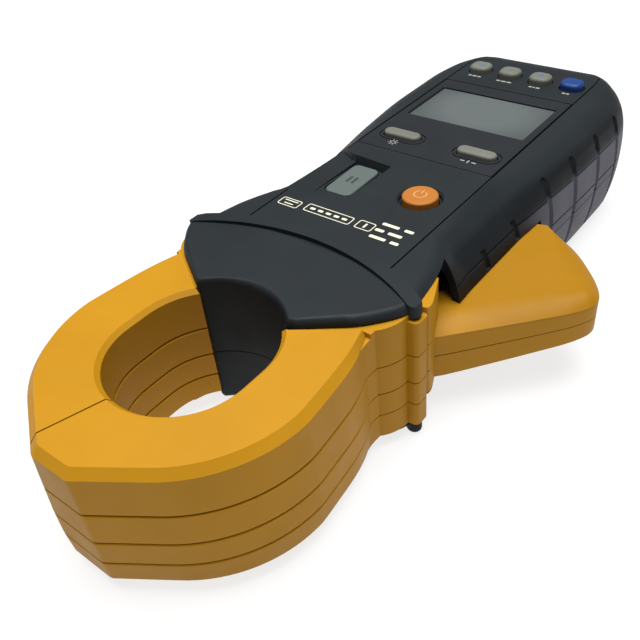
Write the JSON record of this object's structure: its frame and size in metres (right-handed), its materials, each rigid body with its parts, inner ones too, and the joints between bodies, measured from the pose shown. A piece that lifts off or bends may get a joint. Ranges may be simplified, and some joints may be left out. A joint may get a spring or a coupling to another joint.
{
  "type": "clamp meter",
  "caption": "Hand-held clamp meter for currents and earth loops: thick yellow split-core jaws, one opened by a side lever, dark case with display and push keys.",
  "frame": {"origin": "under the centre of the bounding box, on the plane the meter's back rests on", "axes": "+Y from the tail to the jaw tip, +Z out of the display, +X to the fixed jaw's side; the lever is on the -X side"},
  "size_m": [0.0988, 0.2184, 0.043],
  "materials": {
    "yellow_plastic": "satin warm yellow moulding",
    "case_plastic": "fine-grained dark blue-grey moulding",
    "lens_plastic": "smooth dark display panel",
    "lcd_glass": "grey-green reflective display",
    "white_plastic": "light guide",
    "orange_plastic": "soft-touch key",
    "grey_plastic": "soft-touch key",
    "pale_plastic": "soft-touch key",
    "blue_plastic": "soft-touch key",
    "mat_rubber": "matt key mat",
    "board": "solder-masked board",
    "black_plastic": "moulded black",
    "steel": "nickel-plated steel",
    "laminated_core": "laminated core strip",
    "copper_winding": "enamelled copper wire",
    "cell_skin": "printed dry-cell sleeve"
  },
  "bodies": {
    "case": {"front_case": "case_plastic", "back_case": "case_plastic", "case_screw_1": "steel", "case_screw_2": "steel", "case_screw_3": "steel", "case_screw_4": "steel", "display_lens": "lens_plastic", "lcd_glass": "lcd_glass", "lcd_backlight": "white_plastic", "front_key_mat": "mat_rubber", "rear_key_mat": "mat_rubber", "main_board": "board", "processor": "black_plastic", "buzzer": "black_plastic", "cell_1": "cell_skin", "cell_2": "cell_skin", "cell_holder": "black_plastic", "cell_link_plate": "steel", "positive_contact": "steel", "negative_contact": "steel", "cell_cover": "case_plastic", "cover_screw": "steel", "hinge_pin": "steel", "fixed_jaw_pin": "steel", "return_spring": "steel", "fixed_jaw_upper_cover": "yellow_plastic", "fixed_jaw_upper_tray": "yellow_plastic", "fixed_jaw_lower_tray": "yellow_plastic", "fixed_jaw_lower_cover": "yellow_plastic", "fixed_jaw_upper_core": "laminated_core", "fixed_jaw_upper_winding": "copper_winding", "fixed_jaw_lower_core": "laminated_core", "fixed_jaw_lower_winding": "copper_winding"},
    "moving_jaw": {"moving_jaw_upper_cover": "yellow_plastic", "moving_jaw_upper_tray": "yellow_plastic", "moving_jaw_lower_tray": "yellow_plastic", "moving_jaw_lower_cover": "yellow_plastic", "moving_jaw_upper_core": "laminated_core", "moving_jaw_upper_winding": "copper_winding", "moving_jaw_lower_core": "laminated_core", "moving_jaw_lower_winding": "copper_winding"},
    "power_button": {"power_key": "orange_plastic"},
    "hold_button": {"hold_key": "pale_plastic"},
    "backlight_button": {"backlight_key": "grey_plastic"},
    "mode_button": {"mode_key": "grey_plastic"},
    "memory_button": {"memory_key": "grey_plastic"},
    "filter_button": {"filter_key": "grey_plastic"},
    "sound_button": {"sound_key": "grey_plastic"},
    "shift_button": {"shift_key": "blue_plastic"}
  },
  "joints": [
    {"name": "jaw_hinge", "type": "hinge", "parent": "case", "child": "moving_jaw", "pos_m": [-0.01005, 0.0358, 0.0214], "axis": [0, 0, 1], "range_deg": [0, 28], "stiffness_Nm_per_rad": 1.5, "springref_deg": -34.38, "deforming": ["return_spring"]},
    {"name": "power_press", "type": "slide", "parent": "case", "child": "power_button", "axis": [0, 0, -1], "range_m": [0, 0.0008], "stiffness_N_per_m": 400},
    {"name": "hold_press", "type": "slide", "parent": "case", "child": "hold_button", "axis": [0, 0, -1], "range_m": [0, 0.0008], "stiffness_N_per_m": 400},
    {"name": "backlight_press", "type": "slide", "parent": "case", "child": "backlight_button", "axis": [0, 0, -1], "range_m": [0, 0.0008], "stiffness_N_per_m": 400},
    {"name": "mode_press", "type": "slide", "parent": "case", "child": "mode_button", "axis": [0, 0, -1], "range_m": [0, 0.0008], "stiffness_N_per_m": 400},
    {"name": "memory_press", "type": "slide", "parent": "case", "child": "memory_button", "axis": [0, 0, -1], "range_m": [0, 0.0008], "stiffness_N_per_m": 400},
    {"name": "filter_press", "type": "slide", "parent": "case", "child": "filter_button", "axis": [0, 0, -1], "range_m": [0, 0.0008], "stiffness_N_per_m": 400},
    {"name": "sound_press", "type": "slide", "parent": "case", "child": "sound_button", "axis": [0, 0, -1], "range_m": [0, 0.0008], "stiffness_N_per_m": 400},
    {"name": "shift_press", "type": "slide", "parent": "case", "child": "shift_button", "axis": [0, 0, -1], "range_m": [0, 0.0008], "stiffness_N_per_m": 400}
  ]
}
